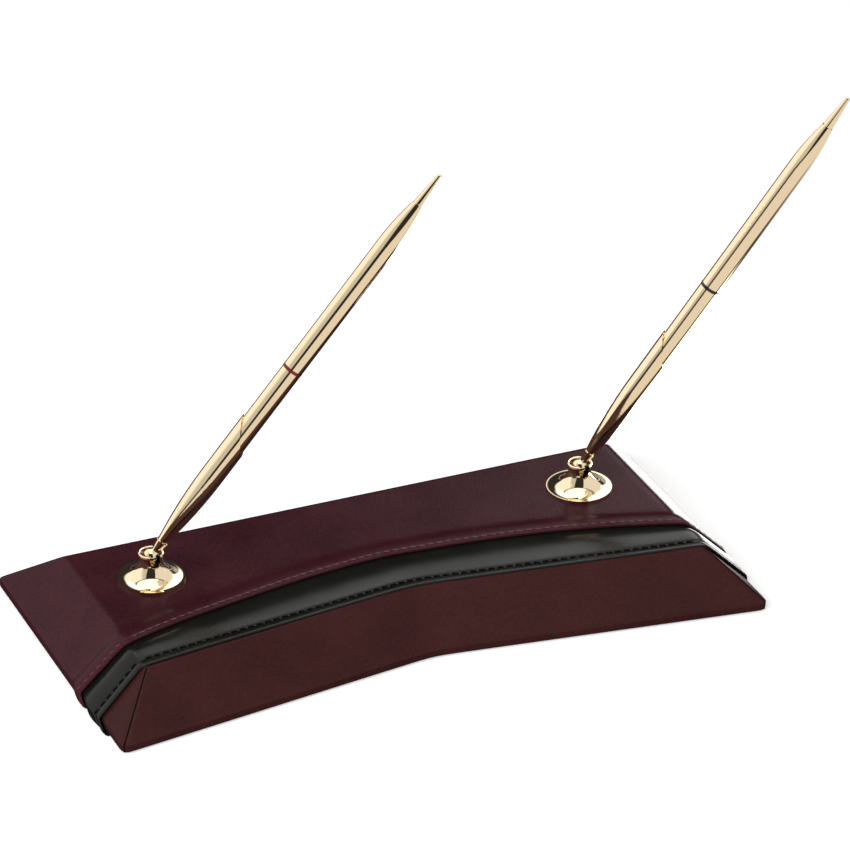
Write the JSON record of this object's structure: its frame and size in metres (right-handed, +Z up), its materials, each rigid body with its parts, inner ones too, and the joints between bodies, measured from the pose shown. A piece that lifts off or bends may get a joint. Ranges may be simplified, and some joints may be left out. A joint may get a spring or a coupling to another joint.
{
  "type": "double pen stand",
  "caption": "Low leather-covered desk block with swivelling trumpet sockets that hold slim metal twist pens leaning to one side.",
  "frame": {"origin": "middle of the felt underside that the stand rests on", "axes": "+X along the stand to its right end, +Y to its back, +Z up"},
  "size_m": [0.2982, 0.1258, 0.1788],
  "materials": {
    "burgundy_leather": "fine grain, satin, dark wine red",
    "black_leather": "smooth satin black",
    "gold_plate": "mirror polished gold plate on brass",
    "brass": "turned, bare",
    "spring_steel": "plain steel",
    "red_band": "gloss, dark red",
    "black_band": "gloss, black",
    "board": "fibreboard, bare",
    "felt": "black felt"
  },
  "bodies": {
    "base": {"felt_pad": "felt", "bottom_board": "board", "core_block": "board", "top_cover": "burgundy_leather", "front_panel": "burgundy_leather", "left_corner_panel": "burgundy_leather", "right_corner_panel": "burgundy_leather", "trim_strip": "black_leather", "left_bell_socket": "gold_plate", "right_bell_socket": "gold_plate", "left_socket_insert": "brass", "right_socket_insert": "brass", "left_socket_spring": "spring_steel", "right_socket_spring": "spring_steel", "socket_screws": "spring_steel", "socket_washers": "spring_steel"},
    "left_cup": {"left_ball_cup": "brass"},
    "left_holder": {"left_pen_holder": "gold_plate"},
    "left_pen": {"left_nose_sleeve": "gold_plate", "left_lower_barrel": "gold_plate", "left_colour_band": "red_band"},
    "left_upper": {"left_upper_barrel": "gold_plate", "left_finial": "gold_plate", "left_twist_unit": "brass"},
    "left_refill": {"left_refill": "brass"},
    "right_cup": {"right_ball_cup": "brass"},
    "right_holder": {"right_pen_holder": "gold_plate"},
    "right_pen": {"right_nose_sleeve": "gold_plate", "right_lower_barrel": "gold_plate", "right_colour_band": "black_band"},
    "right_upper": {"right_upper_barrel": "gold_plate", "right_finial": "gold_plate", "right_twist_unit": "brass"},
    "right_refill": {"right_refill": "brass"}
  },
  "joints": [
    {"name": "left_holder_swing", "type": "hinge", "parent": "base", "child": "left_cup", "pos_m": [-0.0852, 0.0142, 0.0298], "axis": [0, 0, 1], "continuous": true},
    {"name": "left_holder_lean", "type": "hinge", "parent": "left_cup", "child": "left_holder", "pos_m": [-0.0852, 0.0142, 0.0298], "axis": [-0.1582, -0.9874, 0], "range_deg": [-2.9, 77.1]},
    {"name": "left_pen_lift", "type": "slide", "parent": "left_holder", "child": "left_pen", "axis": [0.5956, -0.0954, 0.7976], "range_m": [0, 0.05]},
    {"name": "left_barrel_twist", "type": "hinge", "parent": "left_pen", "child": "left_upper", "pos_m": [-0.0852, 0.0142, 0.0298], "axis": [0.5956, -0.0954, 0.7976], "range_deg": [0, 180]},
    {"name": "left_refill_draw", "type": "slide", "parent": "left_pen", "child": "left_refill", "axis": [0.5956, -0.0954, 0.7976], "range_m": [0, 0.0028]},
    {"name": "right_holder_swing", "type": "hinge", "parent": "base", "child": "right_cup", "pos_m": [0.0852, 0.0142, 0.0298], "axis": [0, 0, 1], "range_deg": [-125, 180]},
    {"name": "right_holder_lean", "type": "hinge", "parent": "right_cup", "child": "right_holder", "pos_m": [0.0852, 0.0142, 0.0298], "axis": [-0.3567, -0.9342, 0], "range_deg": [-8.4, 71.6]},
    {"name": "right_pen_lift", "type": "slide", "parent": "right_holder", "child": "right_pen", "axis": [0.4895, -0.1869, 0.8517], "range_m": [0, 0.05]},
    {"name": "right_barrel_twist", "type": "hinge", "parent": "right_pen", "child": "right_upper", "pos_m": [0.0852, 0.0142, 0.0298], "axis": [0.4895, -0.1869, 0.8517], "range_deg": [0, 180]},
    {"name": "right_refill_draw", "type": "slide", "parent": "right_pen", "child": "right_refill", "axis": [0.4895, -0.1869, 0.8517], "range_m": [0, 0.0028]}
  ],
  "couplings": [
    {"joint": "left_refill_draw", "follows": "left_barrel_twist", "m_per_rad": 0.00089127},
    {"joint": "right_refill_draw", "follows": "right_barrel_twist", "m_per_rad": 0.00089127}
  ]
}
